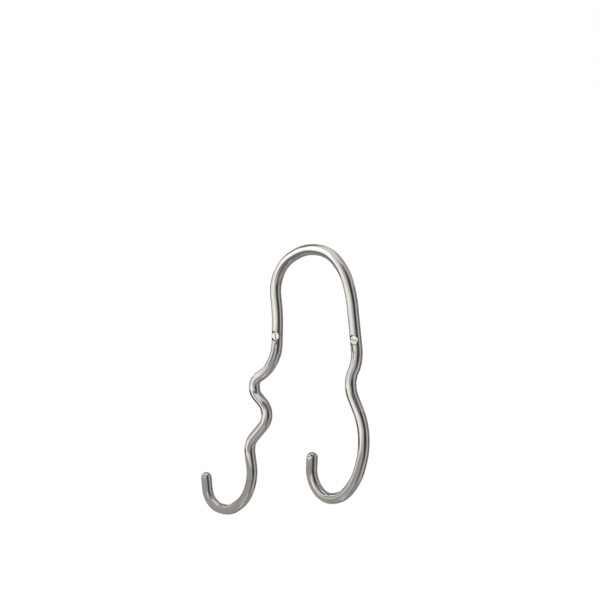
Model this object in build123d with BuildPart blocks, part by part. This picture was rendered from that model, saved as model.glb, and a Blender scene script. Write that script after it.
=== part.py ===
from build123d import *

import os
from itertools import pairwise
from math import pi, radians, sqrt, tan

# Double hook: one stainless steel rod, bent cold in a single plane.
# It rises from the left hook, arches over and comes down to the right hook. Both hooks open to the
# left. A screw goes through each leg, from the front into the wall behind.
# Frame: X to the right, Y into the wall, Z up. The origin is on the rod's middle plane, midway
# between the two screw holes. Sizes are in millimetres.

# Driving dimensions
rod_diameter = 8.0
hole_spacing = 68.0  # from screw to screw, which are level with each other
arch_rise = 62.5  # from the screw line up to the corner of the crown
left_drop = 131.5  # from the screw line down to the lowest corner of the left hook
left_reach = 67.5  # from the left screw out to the tip of its hook
left_tip_height = 22.5  # end of the rod above the lowest corner
right_drop = 112.5
right_reach = 37.0
right_tip_height = 28.0
left_lean = 1.7  # degrees that each leg leans from upright where the screw goes through it
right_lean = -6.9

# Screw hole: clearance for a 3.5 mm countersunk screw
screw_hole_diameter = 3.8
screw_head_diameter = 6.6
screw_head_angle = 90.0

shortest_run = 0.1  # least straight length left between two bends

rod_radius = rod_diameter / 2
left_hole_x = -hole_spacing / 2
right_hole_x = hole_spacing / 2


def on_left_leg(height):
    """Corner on the straight part of the left leg, at a height from the screw line."""
    return left_hole_x + height * tan(radians(left_lean)), height


def on_right_leg(height):
    """Corner on the straight part of the right leg, at a height from the screw line."""
    return right_hole_x + height * tan(radians(right_lean)), height


# A bend is written as the corner where its two straight runs would meet, x and z, and then the
# radius that rounds the corner on the rod's centreline. The rod's two ends have no radius.
left_hook = [
    (left_hole_x - left_reach, left_tip_height - left_drop, 0),
    (left_hole_x - left_reach + 1.5, 9 - left_drop, 15),
    (left_hole_x - left_reach + 9.5, 1 - left_drop, 15),
    (left_hole_x - 44, -left_drop, 20),
    (left_hole_x - 29, 10 - left_drop, 28),
    (left_hole_x - 22.5, 27.5 - left_drop, 30),
]
left_zigzag = [
    (left_hole_x - 26.5, -80, 15),
    (left_hole_x - 4, -57, 12),
    (left_hole_x - 27.5, -37, 9),
    (*on_left_leg(-21), 29),
]
arch = [
    (*on_left_leg(15), 100),
    (left_hole_x - 2.5, arch_rise - 26, 27),
    (left_hole_x + 6, arch_rise - 9.5, 29),
    (left_hole_x + 26, arch_rise, 33),
    (right_hole_x - 22, arch_rise - 2.5, 26),
    (right_hole_x - 9, arch_rise - 16, 36),
    (*on_right_leg(30), 90),
]
right_wave = [
    (*on_right_leg(-14), 28),
    (right_hole_x - 6.5, -31, 20),
]
right_hook = [
    (right_hole_x + 6.5, 55 - right_drop, 45),
    (right_hole_x + 7, 35 - right_drop, 55),
    (right_hole_x + 0.5, 15 - right_drop, 40),
    (right_hole_x - 11, 2.5 - right_drop, 22),
    (right_hole_x - right_reach + 11, -right_drop, 13),
    (right_hole_x - right_reach - 1, 11.5 - right_drop, 20),
    (right_hole_x - right_reach, right_tip_height - right_drop, 0),
]
bends = left_hook + left_zigzag + arch + right_wave + right_hook


def fitted_radii(bends):
    """Radius of every bend, smaller than written only where the runs beside it are too short."""
    corners = [Vector(x, z) for x, z, radius in bends]
    runs = [end - start for start, end in pairwise(corners)]
    turns = [before.get_angle(after) for before, after in pairwise(runs)]
    wanted = [radius for x, z, radius in bends[1:-1]]
    tangents = [0, *(radius * tan(radians(turn) / 2) for radius, turn in zip(wanted, turns)), 0]
    room = [
        min(1, (run.length - shortest_run) / (before + after))
        for run, (before, after) in zip(runs, pairwise(tangents))
    ]
    return [radius * min(beside) for radius, beside in zip(wanted, pairwise(room))]


# Depth of the screw head's seat from the rod's middle plane: there the chord of the round rod is
# as wide as the head, so the head sits in a full ring of metal
head_seat_y = -sqrt(rod_radius**2 - (screw_head_diameter / 2) ** 2)

with BuildPart() as hook_rod:
    with BuildLine(Plane.XZ) as centreline:
        FilletPolyline(*[(x, z) for x, z, radius in bends], radius=fitted_radii(bends))
    path = centreline.wire()
    with BuildSketch(Plane(path @ 0, z_dir=path % 0)):
        Circle(rod_radius)
    sweep(path=path)
    for tip, outward in ((path @ 0, path % 0 * -1), (path @ 1, path % 1)):
        with BuildSketch(Plane(tip, x_dir=outward, z_dir=(0, -1, 0))):
            with BuildLine():
                Line((0, 0), (rod_radius, 0))
                CenterArc((0, 0), rod_radius, 0, 90)
                Line((0, rod_radius), (0, 0))
            make_face()
        revolve(axis=Axis(tip, outward))
    solid_rod_volume = hook_rod.part.volume

    for hole_x in (left_hole_x, right_hole_x):
        with Locations(Plane((hole_x, head_seat_y, 0), z_dir=(0, -1, 0))):
            CounterSinkHole(
                radius=screw_hole_diameter / 2,
                counter_sink_radius=screw_head_diameter / 2,
                depth=rod_diameter,
                counter_sink_angle=screw_head_angle,
            )

hook_rod.part.label = "hook_rod"

expected_volume = pi * rod_radius**2 * path.length + 4 / 3 * pi * rod_radius**3
print(f"rod length {path.length + rod_diameter:.1f} mm, before drilling its volume is")
print(f"{solid_rod_volume:.0f} mm3, and section times length gives {expected_volume:.0f} mm3")

os.makedirs("parts", exist_ok=True)
export_step(hook_rod.part, "parts/hook_rod.step")
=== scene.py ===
# %% [markdown]
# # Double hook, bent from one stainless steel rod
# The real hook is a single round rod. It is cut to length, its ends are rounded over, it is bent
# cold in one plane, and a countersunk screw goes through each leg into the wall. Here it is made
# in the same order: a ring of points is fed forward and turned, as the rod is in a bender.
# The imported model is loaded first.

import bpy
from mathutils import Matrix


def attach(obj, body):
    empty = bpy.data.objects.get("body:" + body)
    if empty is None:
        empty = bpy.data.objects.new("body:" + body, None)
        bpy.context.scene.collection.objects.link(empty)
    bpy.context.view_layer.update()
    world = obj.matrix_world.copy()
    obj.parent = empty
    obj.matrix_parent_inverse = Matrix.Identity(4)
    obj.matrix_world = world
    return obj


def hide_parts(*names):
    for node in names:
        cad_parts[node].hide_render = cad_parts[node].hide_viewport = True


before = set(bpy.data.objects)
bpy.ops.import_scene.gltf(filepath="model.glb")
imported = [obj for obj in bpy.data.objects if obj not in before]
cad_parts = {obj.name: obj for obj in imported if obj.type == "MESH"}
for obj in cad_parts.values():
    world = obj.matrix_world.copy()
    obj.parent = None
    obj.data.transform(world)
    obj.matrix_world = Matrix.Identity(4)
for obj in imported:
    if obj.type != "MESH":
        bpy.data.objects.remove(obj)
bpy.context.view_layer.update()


print("packed pieces:", list(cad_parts))

# %% [markdown]
# ## Tools
# Blender's own modules do the modelling. The bending plan and the pattern on the steel need a
# little geometry besides.

# %% Tools for the lesson
from collections import namedtuple
from itertools import pairwise
from math import atan2, ceil, cos, degrees, pi, radians, sin, sqrt, tan

import bmesh
import bpy
import numpy as np
from mathutils import Matrix, Vector

mm = 0.001
touching = 1e-6  # metres, within which two places count as one
scene = bpy.context.scene
print("Blender", bpy.app.version_string)

# %% [markdown]
# ## Sizes
# These are the sizes of the CAD model, written in millimetres and turned into metres by `mm`. A
# bend is the corner where its two straight runs would meet, x and z, and the radius that rounds it
# off. X points right, Y into the wall and Z up. The origin is midway between the two screws.

# %% Sizes
rod_radius = 4.0 * mm
screw_hole_radius = 1.9 * mm
screw_recess_radius = 3.3 * mm
left_screw_x = -34.0
right_screw_x = 34.0
crown = 62.5
left_low = -131.5
right_low = -112.5
left_lean = 1.7  # degrees from upright, where the screw goes through the leg
right_lean = -6.9


def on_left_leg(height):
    """Corner on the straight part of the left leg, at a height from the screws."""
    return left_screw_x + height * tan(radians(left_lean)), height


def on_right_leg(height):
    """Corner on the straight part of the right leg, at a height from the screws."""
    return right_screw_x + height * tan(radians(right_lean)), height


left_hook = [
    (left_screw_x - 67.5, left_low + 22.5, 0),
    (left_screw_x - 66, left_low + 9, 15),
    (left_screw_x - 58, left_low + 1, 15),
    (left_screw_x - 44, left_low, 20),
    (left_screw_x - 29, left_low + 10, 28),
    (left_screw_x - 22.5, left_low + 27.5, 30),
]
left_zigzag = [
    (left_screw_x - 26.5, -80, 15),
    (left_screw_x - 4, -57, 12),
    (left_screw_x - 27.5, -37, 9),
    (*on_left_leg(-21), 29),
]
arch = [
    (*on_left_leg(15), 100),
    (left_screw_x - 2.5, crown - 26, 27),
    (left_screw_x + 6, crown - 9.5, 29),
    (left_screw_x + 26, crown, 33),
    (right_screw_x - 22, crown - 2.5, 26),
    (right_screw_x - 9, crown - 16, 36),
    (*on_right_leg(30), 90),
]
right_wave = [
    (*on_right_leg(-14), 28),
    (right_screw_x - 6.5, -31, 20),
]
right_hook = [
    (right_screw_x + 6.5, right_low + 55, 45),
    (right_screw_x + 7, right_low + 35, 55),
    (right_screw_x + 0.5, right_low + 15, 40),
    (right_screw_x - 11, right_low + 2.5, 22),
    (right_screw_x - 26, right_low, 13),
    (right_screw_x - 38, right_low + 11.5, 20),
    (right_screw_x - 37, right_low + 28, 0),
]
bends = left_hook + left_zigzag + arch + right_wave + right_hook
corners = [Vector((x, 0, z)) * mm for x, z, radius in bends]
wanted_radii = [radius * mm for x, z, radius in bends[1:-1]]
print(len(wanted_radii), "bends")

# %% [markdown]
# ## The bending plan
# A wire bender works from a list: feed the rod so far, then turn it so much on such a radius.
# Each run gives up a tangent length to the bend at either end, and the radii shrink a little
# where two bends would otherwise want more of a run than it has.

# %% Work out each feed and turn
shortest_run = 0.1 * mm
runs = [end - start for start, end in pairwise(corners)]
headings = [run.normalized() for run in runs]
turns = [
    before.angle(after) * (1 if before.cross(after).y > 0 else -1)
    for before, after in pairwise(headings)
]


def setbacks(radii):
    """The length that each bend takes from the runs beside it. The rod's ends take none."""
    return [0, *(radius * tan(abs(turn) / 2) for radius, turn in zip(radii, turns)), 0]


room = [
    min(1, (run.length - shortest_run) / (before + after))
    for run, (before, after) in zip(runs, pairwise(setbacks(wanted_radii)))
]
radii = [radius * min(beside) for radius, beside in zip(wanted_radii, pairwise(room))]
feeds = [
    run.length - before - after for run, (before, after) in zip(runs, pairwise(setbacks(radii)))
]
print(f"{len(feeds)} feeds, {sum(map(abs, turns)):.1f} radians of bending")

# %% [markdown]
# The list is then walked through once, from the left tip to the right one. Each stretch of the rod
# is a feed and the bend after it, with the place and heading where it starts. Both the shape and
# the steel's grain are made from these stretches. The walk has to end at the right tip.

# %% Walk through the plan
# along is how much rod comes before the stretch, and way is the sign of its turn
Stretch = namedtuple("Stretch", "start heading along feed centre radius turn way")
bend_axis = Vector((0, 1, 0))
stretches = []
here, heading, along = corners[0], headings[0], 0.0
for length, (turn, radius) in zip(feeds, [*zip(turns, radii), (0, 0)]):
    way = 1 if turn > 0 else -1
    fed = here + heading * length
    centre = fed + bend_axis.cross(heading) * radius * way
    stretches.append(Stretch(here, heading, along, length, centre, radius, turn, way))
    bent = Matrix.Rotation(turn, 3, "Y")
    here, heading = centre + bent @ (fed - centre), bent @ heading
    along += length + radius * abs(turn)
right_tip, last_heading, rod_length = here, heading, along
print(f"{rod_length / mm:.1f} mm of rod between the two rounded ends")
print(f"the walk ends {(right_tip - corners[-1]).length / mm:.4f} mm from the right tip")

# %% [markdown]
# ## Helpers
# An operator acts on all that is selected, so every step begins with nothing selected, and what
# it needs is then chosen by its place.

# %% Selection and edit-mode helpers


def start_fresh(*chosen):
    """Leaves edit mode, and selects the given objects only. The last is the active one."""
    if bpy.context.object and bpy.context.object.mode != "OBJECT":
        bpy.ops.object.mode_set(mode="OBJECT")
    bpy.ops.object.select_all(action="DESELECT")
    for obj in chosen:
        obj.select_set(True)
        bpy.context.view_layer.objects.active = obj


def select_points(chosen):
    """In edit mode, selects only the points whose place passes the test, and returns how many."""
    mesh = bpy.context.object.data
    bpy.ops.mesh.select_mode(type="VERT")
    bpy.ops.mesh.select_all(action="DESELECT")
    points = bmesh.from_edit_mesh(mesh)
    for point in points.verts:
        point.select_set(chosen(point.co))
    points.select_flush(True)
    bmesh.update_edit_mesh(mesh)
    return sum(point.select for point in points.verts)


def feed(step):
    """Extrudes what is selected by a vector."""
    bpy.ops.mesh.extrude_region_move(TRANSFORM_OT_translate={"value": step})


def scale_about(centre, factor):
    """Scales what is selected about a point, by one factor or by three."""
    value = factor if isinstance(factor, tuple) else (factor, factor, factor)
    bpy.ops.transform.resize(value=value, center_override=centre)


def face_outwards():
    """Ends edit mode with every face pointing outwards."""
    bpy.ops.mesh.select_all(action="SELECT")
    bpy.ops.mesh.normals_make_consistent(inside=False)
    bpy.ops.object.mode_set(mode="OBJECT")


def settle(obj, name):
    """Puts the object's place and turn into its mesh, so that the object sits at the origin."""
    bpy.ops.object.mode_set(mode="OBJECT")
    bpy.ops.object.transform_apply(location=True, rotation=True, scale=True)
    obj.name = obj.data.name = name
    return obj


start_fresh()
print("selected before the first step:", len(bpy.context.selected_objects), "objects")

# %% [markdown]
# ## The rod
# Its section is a ring of points at the left tip. The end is rounded over first, by rings that
# step out and shrink like the latitudes of a ball, and the last ring closes in one point.

# %% First ring and the left end
ring_points = 96
end_rings = 14


def round_over(centre, outward):
    """Closes the selected ring with half a ball."""
    latitudes = [pi / 2 * n / end_rings for n in range(end_rings + 1)]
    for low, high in pairwise(latitudes):
        feed(outward * rod_radius * (sin(high) - sin(low)))
        if high < latitudes[-1]:
            scale_about(centre + outward * rod_radius * sin(high), cos(high) / cos(low))
    bpy.ops.mesh.merge(type="CENTER")


start_fresh()
first = headings[0]
bpy.ops.mesh.primitive_circle_add(
    vertices=ring_points,
    radius=rod_radius,
    location=corners[0],
    rotation=Vector((0, 0, 1)).rotation_difference(first).to_euler(),
)
rod = settle(bpy.context.object, "rod")
bpy.ops.object.mode_set(mode="EDIT")
bpy.ops.mesh.select_all(action="SELECT")
round_over(corners[0], -first)
in_ring = select_points(lambda co: abs((co - corners[0]).dot(first)) < touching)
print("left end rounded over,", in_ring, "points in the first ring")

# %% [markdown]
# The first ring is still selected. It is fed and spun through the plan, as the rod passes the
# bender, and the right end is rounded over like the left. Spin turns the other way round its axis
# from the right-hand rule, so it is given the turn with its sign changed.

# %% Feed and bend
turn_step = radians(3.5)
for stretch in stretches:
    feed(stretch.heading * stretch.feed)
    if stretch.turn:
        bpy.ops.mesh.spin(
            steps=ceil(abs(stretch.turn) / turn_step),
            angle=-stretch.turn,
            center=stretch.centre,
            axis=bend_axis,
        )
round_over(right_tip, last_heading)
face_outwards()
print("rod:", len(rod.data.vertices), "points,", len(rod.data.polygons), "faces")

# %% [markdown]
# ## The drill
# A drill is a turned shape, and so is a screw, so one helper makes both. It starts as a cylinder,
# and its front face is pushed on and widened or narrowed, step by step. The drill is as wide as
# the hole, then opens at 90 degrees to the seat of a countersunk head, then goes on straight to
# clear the rod. Both holes are the same, so it is made once.

# %% Turn the drill
seat_y = -sqrt(rod_radius**2 - screw_recess_radius**2)
seat_foot_y = seat_y + screw_recess_radius - screw_hole_radius
drill_end_y = 6 * mm
turned_points = 64


def turned(name, back_y, steps):
    """A shape turned about the Y axis: a cylinder whose front face is pushed through the steps."""
    (front_y, radius), *rest = steps
    start_fresh()
    bpy.ops.mesh.primitive_cylinder_add(
        vertices=turned_points,
        radius=radius,
        depth=back_y - front_y,
        location=(0, (back_y + front_y) / 2, 0),
        rotation=(pi / 2, 0, 0),
    )
    shape = settle(bpy.context.object, name)
    bpy.ops.object.mode_set(mode="EDIT")
    for next_y, next_radius in rest:
        select_points(lambda co: abs(co.y - front_y) < touching)
        feed(Vector((0, next_y - front_y, 0)))
        scale_about((0, next_y, 0), next_radius / radius)
        front_y, radius = next_y, next_radius
    face_outwards()
    return shape


drill = turned(
    "drill",
    drill_end_y,
    [
        (seat_foot_y, screw_hole_radius),
        (seat_y, screw_recess_radius),
        (-drill_end_y, screw_recess_radius),
    ],
)
print(f"drill: {len(drill.data.polygons)} faces, seat {-seat_y / mm:.2f} mm in front of Y 0")

# %% [markdown]
# ## The screw holes
# A copy of the drill goes to each hole, with a mesh of its own, and is taken out of the rod with a
# Boolean modifier that is applied. The cut edges then follow the round rod, as a real
# countersink's do.

# %% Drill the rod
screw_places = [Vector((x * mm, 0, 0)) for x in (left_screw_x, right_screw_x)]


def copy_of(shape, name, place, roll=0.0):
    """A copy with a mesh of its own, which is turned about the Y axis and moved."""
    start_fresh(shape)
    bpy.ops.object.duplicate(linked=False)
    made = bpy.context.object
    made.name = made.data.name = name
    made.data.transform(Matrix.Translation(place) @ Matrix.Rotation(roll, 4, "Y"))
    return made


def cut_with(obj, tool):
    """Takes the tool's shape out of the object, and removes the tool."""
    start_fresh(obj)
    cut = obj.modifiers.new("cut", "BOOLEAN")
    cut.operation = "DIFFERENCE"
    cut.solver = "EXACT"
    cut.object = tool
    bpy.ops.object.modifier_apply(modifier=cut.name)
    bpy.data.objects.remove(tool)


for place in screw_places:
    cut_with(rod, copy_of(drill, "drill_in_place", place))
bpy.data.objects.remove(drill)
print("drilled rod:", len(rod.data.vertices), "points,", len(rod.data.polygons), "faces")

# %% [markdown]
# ## Coordinates of the straight rod
# The rod was polished when it was straight, so its grain runs along it and follows every bend.
# Each point gets the place it had before bending, as an attribute: across, through, and along the
# rod. It is found from the nearest feed or bend of the plan, and the steel's pattern reads it.

# %% Unbend the points
points = np.array([v.co for v in rod.data.vertices])
unbent = np.zeros((len(points), 3))
nearest = np.full(len(points), np.inf)


def offer(gap, *coordinates):
    """Gives the coordinates to the points that are nearer to this stretch than to those before."""
    closer = gap < nearest
    nearest[closer] = gap[closer]
    unbent[closer] = np.stack(coordinates, axis=1)[closer]


for stretch in stretches:
    # The straight feed
    heading = np.array(stretch.heading)
    side = np.array(bend_axis.cross(stretch.heading))
    step = points - np.array(stretch.start)
    ahead, aside, through = step @ heading, step @ side, step[:, 1]
    over = np.abs(ahead - np.clip(ahead, 0, stretch.feed))
    offer(np.hypot(np.hypot(aside, through), over), aside, through, stretch.along + ahead)
    # The bend after it
    if stretch.turn:
        step = points - np.array(stretch.centre)
        ahead, back = step @ heading, -stretch.way * (step @ side)
        reach, angle = np.hypot(ahead, back), np.arctan2(ahead, back)
        inside = np.clip(angle, 0, abs(stretch.turn))
        gap = np.hypot(np.hypot(reach - stretch.radius, through), reach * np.abs(angle - inside))
        aside = (stretch.radius - reach) * stretch.way
        offer(gap, aside, through, stretch.along + stretch.feed + inside * stretch.radius)
rod.data.attributes.new("unbent", "FLOAT_VECTOR", "POINT").data.foreach_set(
    "vector", unbent.astype(np.float32).ravel()
)
along_rod = unbent[:, 2] / mm
print(f"the straight rod goes from {along_rod.min():.1f} to {along_rod.max():.1f} mm")

# %% [markdown]
# ## The screw
# A countersunk screw fills each recess, and its flat head is the white disc in the photograph.
# It is turned like the drill, a little smaller all round, with a fine bevel round its face. The
# shank ends inside the rod, because no more of it is seen. It is made once, on the Y axis.

# %% Turn the screw
head_radius = 3.2 * mm
head_rise = 0.06 * mm  # its face stands this far out from the edge of the seat
head_top_y = seat_y - head_rise
head_bevel = 0.05 * mm
head_land = 0.17 * mm
shank_radius = 1.7 * mm
shank_end_y = 3.9 * mm

screw = turned(
    "screw",
    shank_end_y,
    [
        (head_top_y + head_land + head_radius - shank_radius, shank_radius),
        (head_top_y + head_land, head_radius),
        (head_top_y + head_bevel, head_radius),
        (head_top_y, head_radius - head_bevel),
    ],
)
print(f"screw: head {2 * head_radius / mm:.1f} mm, shank {2 * shank_radius / mm:.1f} mm")

# %% [markdown]
# ## The slot
# A slot for a driver goes across the head. Its blade is a bar that is narrowed at the foot, as a
# milled slot is, and it is taken out of the screw. The finished screw is then copied to its two
# places. Nobody lines up screws when they drive them, so each copy has a roll of its own, read
# from the thin dark line across its disc.

# %% Cut the slot and copy the screw
slot_width = 0.8 * mm
slot_depth = 0.9 * mm
slot_clearance = 0.6 * mm
slot_taper = 0.85
blade_length = 3 * head_radius
rolls = {"left_screw": radians(76), "right_screw": radians(11)}

start_fresh()
middle_y = head_top_y + (slot_depth - slot_clearance) / 2
bpy.ops.mesh.primitive_cube_add(size=1, location=(0, middle_y, 0))
blade = bpy.context.object
blade.scale = (blade_length, slot_depth + slot_clearance, slot_width)
settle(blade, "slot_blade")
bpy.ops.object.mode_set(mode="EDIT")
select_points(lambda co: co.y > head_top_y)
scale_about((0, 0, 0), (1, 1, slot_taper))
bpy.ops.object.mode_set(mode="OBJECT")
cut_with(screw, blade)
screws = [
    copy_of(screw, name, place, roll) for place, (name, roll) in zip(screw_places, rolls.items())
]
bpy.data.objects.remove(screw)
print([made.name for made in screws], "made,", len(screws[0].data.polygons), "faces each")

# %% [markdown]
# ## Smooth shading
# The rod's small flat faces are shaded as one round surface. Edges sharper than 28 degrees stay
# crisp: the rims of the recesses, the screw heads and the slots.

# %% Smooth shading
crisp_angle = radians(28)
for piece in (rod, *screws):
    start_fresh(piece)
    bpy.ops.object.shade_smooth_by_angle(angle=crisp_angle)
    print(piece.name, "has", sum(edge.use_edge_sharp for edge in piece.data.edges), "crisp edges")

# %% [markdown]
# ## Materials made of nodes
# The finishes are made of shader nodes, which are added and linked in code. These helpers each add
# one node and give back its output, so that a finish reads like a sum.

# %% Node helpers


def new_node(tree, kind, **settings):
    """Adds a node and gives it its settings."""
    node = tree.nodes.new(kind)
    for name, value in settings.items():
        setattr(node, name, value)
    return node


def plug(tree, value, socket):
    """Links an output to a socket, or sets the socket to a number or a colour."""
    if isinstance(value, tuple):
        socket.default_value = (*value, 1)
    elif isinstance(value, (int, float)):
        socket.default_value = value
    else:
        tree.links.new(value, socket)


def noise(tree, vector, waves, detail):
    """Noise with so many waves to the metre along each axis."""
    mapping = new_node(tree, "ShaderNodeMapping")
    mapping.inputs["Scale"].default_value = waves
    tree.links.new(vector, mapping.inputs["Vector"])
    node = new_node(tree, "ShaderNodeTexNoise")
    node.inputs["Scale"].default_value = 1.0
    node.inputs["Detail"].default_value = detail
    tree.links.new(mapping.outputs["Vector"], node.inputs["Vector"])
    return node.outputs["Fac"]


def remap(tree, value, before, after=(0, 1)):
    """Turns one span of numbers into another, and holds what lies outside at its ends."""
    node = new_node(tree, "ShaderNodeMapRange")
    for name, number in zip(("From Min", "From Max", "To Min", "To Max"), (*before, *after)):
        node.inputs[name].default_value = number
    tree.links.new(value, node.inputs["Value"])
    return node.outputs["Result"]


def maths(tree, operation, *values):
    """One sum, of sockets and numbers."""
    node = new_node(tree, "ShaderNodeMath", operation=operation)
    for socket, value in zip(node.inputs, values):
        plug(tree, value, socket)
    return node.outputs["Value"]


def blend(tree, factor, first, second):
    """Mixes two colours, each a socket or three numbers."""
    node = new_node(tree, "ShaderNodeMix", data_type="RGBA")
    for name, value in (("Factor", factor), ("A", first), ("B", second)):
        plug(tree, value, node.inputs[name])
    return node.outputs["Result"]


print("helpers:", [helper.__name__ for helper in (new_node, plug, noise, remap, maths, blend)])

# %% [markdown]
# ## Ground stainless steel
# The rod is steel that was ground and polished to a dull gloss. Its finish is never quite even: the
# grinding leaves fine lines along the rod, soft cloudy patches, and a few longer scratches. They
# are made as noise that is stretched along the straight rod. The rod and the screws share them, so
# they are a node group that gives out a roughness, a height and a mask of patches.

# %% Grain group
number, vector, colour = "NodeSocketFloat", "NodeSocketVector", "NodeSocketColor"
line_waves = (4200, 4200, 90)  # across the rod, through it and along it
cloud_waves = (420, 420, 110)
scratch_waves = (1500, 1500, 28)
scratch_span = (0.66, 0.72)  # only the highest noise makes a scratch
patch_span = (0.3, 0.7)
line_roughness = scratch_roughness = 0.06
scratch_height = -0.6


def new_group(name, inputs, outputs):
    """An empty node group with named sockets, and its two end nodes."""
    group = bpy.data.node_groups.new(name, "ShaderNodeTree")
    for way, sockets in (("INPUT", inputs), ("OUTPUT", outputs)):
        for label, kind in sockets.items():
            group.interface.new_socket(name=label, in_out=way, socket_type=kind)
    return group, new_node(group, "NodeGroupInput"), new_node(group, "NodeGroupOutput")


grain, given, put_out = new_group(
    "ground_grain",
    {"Vector": vector, "Roughness": number, "Unevenness": number},
    {"Roughness": number, "Height": number, "Patches": number},
)
where = given.outputs["Vector"]
lines = noise(grain, where, line_waves, detail=2)
clouds = noise(grain, where, cloud_waves, detail=3)
scratches = remap(grain, noise(grain, where, scratch_waves, detail=1), scratch_span)
uneven = maths(grain, "MULTIPLY_ADD", clouds, 2, -1)
rough = maths(
    grain, "MULTIPLY_ADD", uneven, given.outputs["Unevenness"], given.outputs["Roughness"]
)
centred = maths(grain, "SUBTRACT", lines, 0.5)
rough = maths(grain, "MULTIPLY_ADD", centred, line_roughness, rough)
rough = maths(grain, "MULTIPLY_ADD", scratches, scratch_roughness, rough)
relief = maths(grain, "MULTIPLY_ADD", scratches, scratch_height, lines)
grain.links.new(rough, put_out.inputs["Roughness"])
grain.links.new(relief, put_out.inputs["Height"])
grain.links.new(remap(grain, clouds, patch_span), put_out.inputs["Patches"])
print("ground_grain group:", len(grain.nodes), "nodes")

# %% [markdown]
# ## Painted shade in the gaps
# The gap round a screw head and its slot would lie in shade, so a dark colour is painted there as
# shade. Both materials have it, each in its own places, so it is a group too. It is given a mask,
# breaks the mask up with noise, and turns the steel dull and dark there.

# %% Painted shade group
# painted shade: the dark colour laid into the gaps round the screw heads and in their slots
painted_shade_colour = (0.035, 0.032, 0.030)
gap_roughness = 0.35  # added to the steel's
shade_noise_waves = (1100, 1100, 1100)
shade_noise_span = (0.3, 0.6)
shade_cover = (0.7, 1)
painted_shade_group, given, put_out = new_group(
    "painted_gap_shade",
    {"Color": colour, "Roughness": number, "Mask": number, "Vector": vector},
    {"Color": colour, "Roughness": number},
)
shade_noise = noise(painted_shade_group, given.outputs["Vector"], shade_noise_waves, detail=3)
cover = remap(painted_shade_group, shade_noise, shade_noise_span, shade_cover)
amount = maths(painted_shade_group, "MULTIPLY", given.outputs["Mask"], cover)
shaded = blend(painted_shade_group, amount, given.outputs["Color"], painted_shade_colour)
duller = maths(painted_shade_group, "MULTIPLY_ADD", amount, gap_roughness, given.outputs["Roughness"])
painted_shade_group.links.new(shaded, put_out.inputs["Color"])
painted_shade_group.links.new(duller, put_out.inputs["Roughness"])
print("painted_gap_shade group:", len(painted_shade_group.nodes), "nodes")

# %% [markdown]
# ## How both steels are put together
# Each is a metal whose colour drifts between two close tones, with the grain and the painted shade
# in the gaps. The Principled shader stays in the material itself, and the groups only feed it. The
# grain reads the unbent coordinates where there are some, and the object's own coordinates
# elsewhere.

# %% Steel
bump_distance = 0.01 * mm


def add_group(tree, group, **inputs):
    """Places a group in a material, with its own values."""
    node = new_node(tree, "ShaderNodeGroup", node_tree=group)
    for label, value in inputs.items():
        plug(tree, value, node.inputs[label])
    return node


def steel(name, tones, roughness, unevenness, bump, attribute=None):
    """Returns the material, its tree, its object coordinates and the mask socket of the painted
    shade.
    """
    material = bpy.data.materials.new(name)
    material.use_nodes = True
    tree = material.node_tree
    shader = tree.nodes["Principled BSDF"]
    shader.inputs["Metallic"].default_value = 1.0
    place = new_node(tree, "ShaderNodeTexCoord").outputs["Object"]
    pattern = place
    if attribute:
        pattern = new_node(tree, "ShaderNodeAttribute", attribute_name=attribute).outputs["Vector"]
    finish = add_group(tree, grain, Vector=pattern, Roughness=roughness, Unevenness=unevenness)
    tone = blend(tree, finish.outputs["Patches"], *tones)
    # painted shade darkens the tone in the gaps, where the mask is high
    shade_in_gaps = add_group(
        tree, painted_shade_group, Vector=place, Color=tone, Roughness=finish.outputs["Roughness"]
    )
    raised = new_node(tree, "ShaderNodeBump")
    raised.inputs["Strength"].default_value = bump
    raised.inputs["Distance"].default_value = bump_distance
    tree.links.new(finish.outputs["Height"], raised.inputs["Height"])
    tree.links.new(shade_in_gaps.outputs["Color"], shader.inputs["Base Color"])
    tree.links.new(shade_in_gaps.outputs["Roughness"], shader.inputs["Roughness"])
    tree.links.new(raised.outputs["Normal"], shader.inputs["Normal"])
    return material, tree, place, shade_in_gaps.inputs["Mask"]


def axes(tree, place):
    """The three coordinates of a place, one by one."""
    node = new_node(tree, "ShaderNodeSeparateXYZ")
    tree.links.new(place, node.inputs["Vector"])
    return node.outputs["X"], node.outputs["Y"], node.outputs["Z"]


print("each steel uses the groups", [group.name for group in (grain, painted_shade_group)])

# %% [markdown]
# ## The rod's steel
# It is polished nearly bright, so its reflections are sharp with slightly soft edges. Painted shade
# makes a thin dark ring just outside the rim of each recess, found from the distance to the screw's
# axis. The two axes are equally far from the middle, so X without its sign serves both. The back
# lies against the wall and has no screw head, so the ring is kept to the front.

# %% Rod steel
ring_start = screw_recess_radius + 0.10 * mm
ring_end = screw_recess_radius + 0.40 * mm
front_to_back = (-0.5 * mm, 0.5 * mm)
rod_tones = (0.64, 0.62, 0.60), (0.57, 0.55, 0.53)
rod_steel, tree, place, mask = steel(
    "rod_steel", rod_tones, roughness=0.09, unevenness=0.03, bump=0.12, attribute="unbent"
)
x, y, z = axes(tree, place)
sideways = maths(tree, "SUBTRACT", maths(tree, "ABSOLUTE", x), right_screw_x * mm)
squares = maths(tree, "MULTIPLY_ADD", z, z, maths(tree, "POWER", sideways, 2))
# the mask of painted shade: a dark ring just outside each recess, on the front
ring = remap(tree, maths(tree, "SQRT", squares), (ring_start, ring_end), (1, 0))
in_front = remap(tree, y, front_to_back, (1, 0))
tree.links.new(maths(tree, "MULTIPLY", ring, in_front), mask)
rod.data.materials.append(rod_steel)
print(rod_steel.name, "has", len(tree.nodes), "nodes, besides those inside its groups")

# %% [markdown]
# ## The screws' steel
# The screws are a paler, more evenly turned steel than the rod. Their painted shade lies below the
# face of the head, which is in the slot and down the side of the head.

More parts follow.
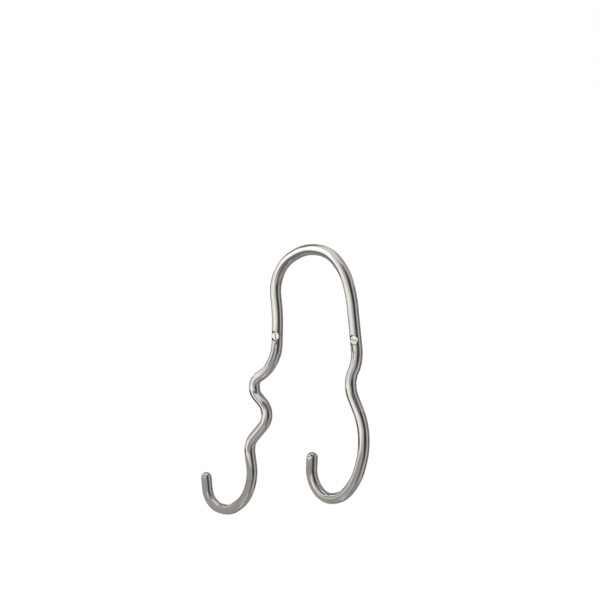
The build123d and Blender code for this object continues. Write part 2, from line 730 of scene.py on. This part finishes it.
# %% Screw steel
# painted shade below the face of the head, in its slot and down its side
below_face = (head_top_y + 0.06 * mm, head_top_y + 0.3 * mm)
painted_shade_amount = (0, 0.5)
screw_tones = (0.80, 0.79, 0.77), (0.74, 0.73, 0.71)
screw_steel, tree, place, mask = steel(
    "screw_steel", screw_tones, roughness=0.2, unevenness=0.03, bump=0.3
)
_, y, _ = axes(tree, place)
tree.links.new(remap(tree, y, below_face, painted_shade_amount), mask)
for made in screws:
    made.data.materials.append(screw_steel)
print(screw_steel.name, "has", len(tree.nodes), "nodes, besides those inside its groups")

# %% [markdown]
# ## The studio
# Polished metal has hardly any colour of its own: what a photograph of it shows is the room. Each
# stripe along a round rod is the reflection of one direction. So the room is made of plain cards
# of one brightness each, as a photographer stands them round a shiny object, and their brightness
# is read from the stripes. The camera doesn't see the cards, only their reflections.

# %% A card's surface
warmth = 0.02  # how much more red a card shines than green, and how much less blue


def empty_tree(owner):
    """Turns on an owner's nodes, and takes away those it comes with."""
    owner.use_nodes = True
    owner.node_tree.nodes.clear()
    return owner.node_tree


def put_up(card, level):
    """Gives a card its even, slightly warm shine, and leaves it to be seen only in reflections."""
    material = bpy.data.materials.new(card.name)
    tree = empty_tree(material)
    shine = new_node(tree, "ShaderNodeEmission")
    plug(tree, (level * (1 + warmth), level, level * (1 - warmth)), shine.inputs["Color"])
    out = new_node(tree, "ShaderNodeOutputMaterial")
    tree.links.new(shine.outputs["Emission"], out.inputs["Surface"])
    card.data.materials.append(material)
    card.visible_camera = card.visible_shadow = card.visible_diffuse = False


# %% [markdown]
# ## Cards round the line of sight
# What the rod reflects is told by two angles: how far the direction is from the line towards the
# camera, and which way round that line it is. So a card is a part of a wide cone round that line.
# The cone is a primitive without ends, and the faces outside the card's sector are deleted.

# %% Arc cards
card_segments = 72
card_distance = 1.2
camera_azimuth, camera_elevation = radians(37), radians(4)


def direction(azimuth, elevation):
    """Which way something lies from the hook. The azimuth counts from the front to the right."""
    return Vector((sin(azimuth), -cos(azimuth), tan(elevation))).normalized()


view_axis = direction(camera_azimuth, camera_elevation)
view_right = Vector((cos(camera_azimuth), sin(camera_azimuth), 0))
view_frame = Matrix((view_right, view_axis.cross(view_right), view_axis)).transposed().to_4x4()


def keep_faces(card, sector, bearing):
    """Deletes the faces whose bearing is outside the sector, in degrees."""
    start, end = sector
    bpy.ops.object.mode_set(mode="EDIT")
    bpy.ops.mesh.select_mode(type="FACE")
    band = bmesh.from_edit_mesh(card.data)
    for face in band.faces:
        face.select_set((bearing(face.calc_center_median()) - start) % 360 > end - start)
    bmesh.update_edit_mesh(card.data)
    bpy.ops.mesh.delete(type="FACE")
    bpy.ops.object.mode_set(mode="OBJECT")


def arc_card(name, spread, sector, level, distance=card_distance):
    """A card between two angles from the line of sight. Its sector runs anticlockwise, with 0 to
    the right and 90 up. A level of 1 is white."""
    near, far = (radians(angle) for angle in spread)
    depth = distance * (cos(near) - cos(far))
    start_fresh()
    bpy.ops.mesh.primitive_cone_add(
        vertices=card_segments,
        radius1=distance * sin(far),
        radius2=distance * sin(near),
        depth=depth,
        end_fill_type="NOTHING",
        location=(0, 0, distance * cos(far) + depth / 2),
    )
    card = settle(bpy.context.object, name)
    keep_faces(card, sector, lambda middle: degrees(atan2(middle.y, middle.x)))
    card.data.transform(view_frame)
    put_up(card, level)


print("the line of sight leaves the hook along", [round(part, 3) for part in view_axis])

# %% [markdown]
# ## Cards beside the camera
# These are seen in the middle of the rod's width. The one round the camera is grey, and most of
# those on its left are light. On its right, above it and below it stand wide dark cards, which make
# the dark stripe beside the middle.

# %% Cards beside the camera
arc_card("front_card", (0.5, 8), (0, 360), 0.46)
arc_card("dim_inner_card", (8, 15), (-100, 110), 0.25)
arc_card("light_card_low_left", (8, 20), (165, 260), 0.78)
arc_card("light_inner_card", (8, 40), (110, 165), 0.72)
arc_card("dark_card_right", (15, 46), (-62, 75), 0.06)
arc_card("dark_card_up", (15, 50), (75, 110), 0.24)
arc_card("dark_card_down", (8, 50), (-110, -62), 0.20)
arc_card("grey_card_down", (20, 40), (200, 250), 0.7)

# %% [markdown]
# ## Cards on the right
# Further round to the right, grey and black cards take turns. They give the right half of each leg
# its stripes, and the last two are the dark line at its edge.

# %% Cards on the right
arc_card("dim_card_right", (46, 57), (-60, 75), 0.28)
arc_card("grey_card_right", (57, 92), (-60, 72), 0.62)
arc_card("second_dark_card", (92, 112), (-40, 22), 0.0)
arc_card("second_dim_card", (92, 112), (22, 72), 0.42)
arc_card("grey_card_back", (112, 127), (-40, 75), 0.66)
arc_card("dark_edge_right", (127, 159), (-25, 18), 0.0)
arc_card("dim_edge_right", (127, 159), (18, 85), 0.36)

# %% [markdown]
# ## Cards above
# They are seen along the top of the crown and in the hooks' upward sides. The outer ones are
# nearer than the rest, so that the crown and the hooks see them at different angles.

# %% Cards above
near_above = 0.4
arc_card("grey_card_above", (93, 110), (112, 142), 0.40)
arc_card("dark_card_above", (110, 124), (92, 150), 0.02)
arc_card("light_card_above", (124, 136), (88, 150), 0.66, near_above)
arc_card("dim_card_above", (136, 148), (88, 160), 0.42, near_above)
arc_card("dark_edge_above", (148, 160), (85, 160), 0.04, near_above)

# %% [markdown]
# ## Cards on the left
# The left of each leg is the brightest part of the photograph. A strip brighter than white and a
# white one give its long highlight, and two black cards the thin dark lines outside it.

# %% Cards on the left
arc_card("bright_strip_left", (38, 92), (177, 198), 1.35)
arc_card("light_strip_left", (92, 118), (165, 188), 0.95)
arc_card("dark_card_left", (88, 122), (188, 204), 0.04)
arc_card("dark_edge_left", (128, 159), (160, 205), 0.03)

# %% [markdown]
# ## Cards below
# The undersides of the bends and hooks show grey bands, with darker ones further round and a bright
# rim. Most of these cards are a little nearer than the others, because the floor would hide them.

# %% Cards below
above_floor = 1.0
arc_card("low_card_left", (72, 128), (204, 250), 0.45, above_floor)
arc_card("low_card_front", (40, 72), (202, 256), 0.54, above_floor)
arc_card("low_card", (50, 84), (262, 300), 0.34, above_floor)
arc_card("low_light_card", (84, 104), (250, 318), 0.44, above_floor)
arc_card("low_dark_card", (104, 127), (250, 318), 0.26, above_floor)
arc_card("low_dark_edge", (112, 138), (318, 336), 0.28)
arc_card("low_grey_edge", (128, 160), (205, 234), 0.50, above_floor)
arc_card("bright_card_behind", (135, 166), (234, 318), 1.1)

# %% [markdown]
# ## Shelves and flags close to the hook
# In the photograph the reflections change along the rod, even where it faces the same way, so
# something small and near splits what the crown and the hooks see. Two dark shelves lie just below
# the screws, in front of the hook and behind it: the underside of the crown and the insides of the
# hooks reflect them. The front one ends short of the left leg, whose highlight goes on further
# down. A flag lies further out on the left, darker on top than underneath, so it is two cards. All
# of them fall away by the angle at which the upright legs reflect, so the legs see them edge-on.

# %% Shelves and flags
fall = 4  # degrees, the slope of the line of sight
flag_corners = (-0.42, -0.38), (-0.04, -0.05)


def flat_card(name, height, level, corner, opposite, fall_left=0, fall_front=0):
    """A flat card between two corners, seen from above. Its middle is at the given height."""
    (x0, y0), (x1, y1) = corner, opposite
    start_fresh()
    bpy.ops.mesh.primitive_plane_add(
        size=1,
        location=((x0 + x1) / 2, (y0 + y1) / 2, height),
        rotation=(radians(fall_front), -radians(fall_left), 0),
    )
    bpy.context.object.scale = (x1 - x0, y1 - y0, 1)
    put_up(settle(bpy.context.object, name), level)


flat_card("front_shelf", -0.0118, 0.20, (-0.04, -0.10), (0.10, -0.026), fall_front=fall)
flat_card("back_shelf", -0.0105, 0.30, (-0.11, 0.016), (0.08, 0.09), fall_front=-fall)
flat_card("flag_above", -0.043, 0.24, *flag_corners, fall_left=fall)
flat_card("flag_below", -0.044, 0.50, *flag_corners, fall_left=fall)

# %% [markdown]
# ## A low screen
# The bottoms of both hooks are an even grey, with none of the highlight that the legs have. So an
# upright card stands close round them, on the left and in front. It is part of a tube, and its
# faces are chosen like those of the arcs.

# %% Low screen


def screen(name, sector, heights, level, radius):
    """A curved upright card: part of a tube round the hook, between two azimuths from the front."""
    low, high = heights
    start_fresh()
    bpy.ops.mesh.primitive_cylinder_add(
        vertices=card_segments,
        radius=radius,
        depth=high - low,
        end_fill_type="NOTHING",
        location=(0, 0, (low + high) / 2),
    )
    card = settle(bpy.context.object, name)
    keep_faces(card, sector, lambda middle: degrees(atan2(middle.x, -middle.y)))
    put_up(card, level)


screen("low_screen", (-100, 25), (-0.17, -0.104), 0.46, radius=0.15)

# %% [markdown]
# ## The floor
# The hook hangs in front of white. The floor is a plain pale sheet far below it, which takes the
# object's shadow. Light Path adds light to it only where the camera, a glossy or a transmitted ray
# looks, so it shows white there and puts no more light on the hook.

# %% Floor
floor_height = -1.2
floor_size = 8
floor_colour = (0.8, 0.8, 0.8)
floor_glow = 0.6


def direct_rays(tree):
    """1 for a ray from the camera, or one that metal or glass has sent on, and 0 for others."""
    rays = new_node(tree, "ShaderNodeLightPath")
    seen = maths(tree, "MAXIMUM", rays.outputs["Is Camera Ray"], rays.outputs["Is Glossy Ray"])
    return maths(tree, "MAXIMUM", seen, rays.outputs["Is Transmission Ray"])


start_fresh()
bpy.ops.mesh.primitive_plane_add(size=floor_size, location=(0, 0, floor_height))
floor = bpy.context.object
floor.name = "floor"
material = bpy.data.materials.new("pale_floor")
tree = empty_tree(material)
matt = new_node(tree, "ShaderNodeBsdfDiffuse")
plug(tree, floor_colour, matt.inputs["Color"])
white = new_node(tree, "ShaderNodeEmission")
glow = maths(tree, "MULTIPLY", direct_rays(tree), floor_glow)
tree.links.new(glow, white.inputs["Strength"])
both = new_node(tree, "ShaderNodeAddShader")
out = new_node(tree, "ShaderNodeOutputMaterial")
tree.links.new(matt.outputs["BSDF"], both.inputs[0])
tree.links.new(white.outputs["Emission"], both.inputs[1])
tree.links.new(both.outputs["Shader"], out.inputs["Surface"])
floor.data.materials.append(material)
print("the floor is", -floor_height, "m below the screws")

# %% [markdown]
# ## The white behind
# The world is the backdrop. It is exactly white where it is looked at, and a plain soft grey where
# it only lights things, so the background is white without more light on the object.

# %% World
strength_as_light, strength_as_seen = 0.6, 1.0
world = bpy.data.worlds.new("studio_white")
scene.world = world
tree = empty_tree(world)
backgrounds = []
for strength in (strength_as_light, strength_as_seen):
    backgrounds.append(new_node(tree, "ShaderNodeBackground"))
    plug(tree, (1, 1, 1), backgrounds[-1].inputs["Color"])
    plug(tree, strength, backgrounds[-1].inputs["Strength"])
mixer = new_node(tree, "ShaderNodeMixShader")
out = new_node(tree, "ShaderNodeOutputWorld")
tree.links.new(direct_rays(tree), mixer.inputs["Fac"])
for background, socket in zip(backgrounds, mixer.inputs[1:]):
    tree.links.new(background.outputs["Background"], socket)
tree.links.new(mixer.outputs["Shader"], out.inputs["Surface"])
print("world:", [b.inputs["Strength"].default_value for b in backgrounds], "as light and as seen")

# %% [markdown]
# ## The light
# One large soft light stands on the left, above the camera's height, as in the photograph, where
# the screw heads shine and the left of the rod is bright. Its power is worked out from how bright
# its cloth should look, because that is what a metal shows.

# %% Soft light
key_azimuth, key_elevation = radians(-46), radians(25)
key_width, key_height, key_distance = 1.22, 1.39, 1.2
key_level = 0.7  # how bright its cloth looks, where 1 is white

lamp = bpy.data.lights.new("key_light", "AREA")
lamp.shape = "RECTANGLE"
lamp.size, lamp.size_y = key_width, key_height
lamp.energy = key_level * pi * key_width * key_height
key = bpy.data.objects.new("key_light", lamp)
scene.collection.objects.link(key)
key.location = direction(key_azimuth, key_elevation) * key_distance
key.rotation_euler = key.location.to_track_quat("Z", "Y").to_euler()
print(f"key light: {lamp.energy:.2f} W at", [round(part, 2) for part in key.location])

# %% [markdown]
# ## The camera
# It looks at the hook from 37 degrees to its right and a few degrees above, with a longish lens.
# Those angles come from the photograph: the two legs and the discs of the two screws say from
# where a flat hook is seen.

# %% Camera
camera_place = (0.5366, -0.7303, 0.0644)
camera_tilt = 2.4  # degrees down, which puts the screws a little below the picture's middle
camera = bpy.data.cameras.new("camera")
camera.lens = 78
camera.sensor_width = 36
viewer = bpy.data.objects.new("camera", camera)
scene.collection.objects.link(viewer)
viewer.location = camera_place
viewer.rotation_euler = (radians(90 - camera_tilt), 0, camera_azimuth)
scene.camera = viewer
scene.view_settings.view_transform = "Standard"
print(f"camera {viewer.location.length:.2f} m from the hook, {camera.lens:.0f} mm lens")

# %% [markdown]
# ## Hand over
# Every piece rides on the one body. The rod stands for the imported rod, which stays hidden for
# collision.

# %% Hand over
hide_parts("hook_rod")
for piece in (rod, *screws):
    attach(piece, "root")
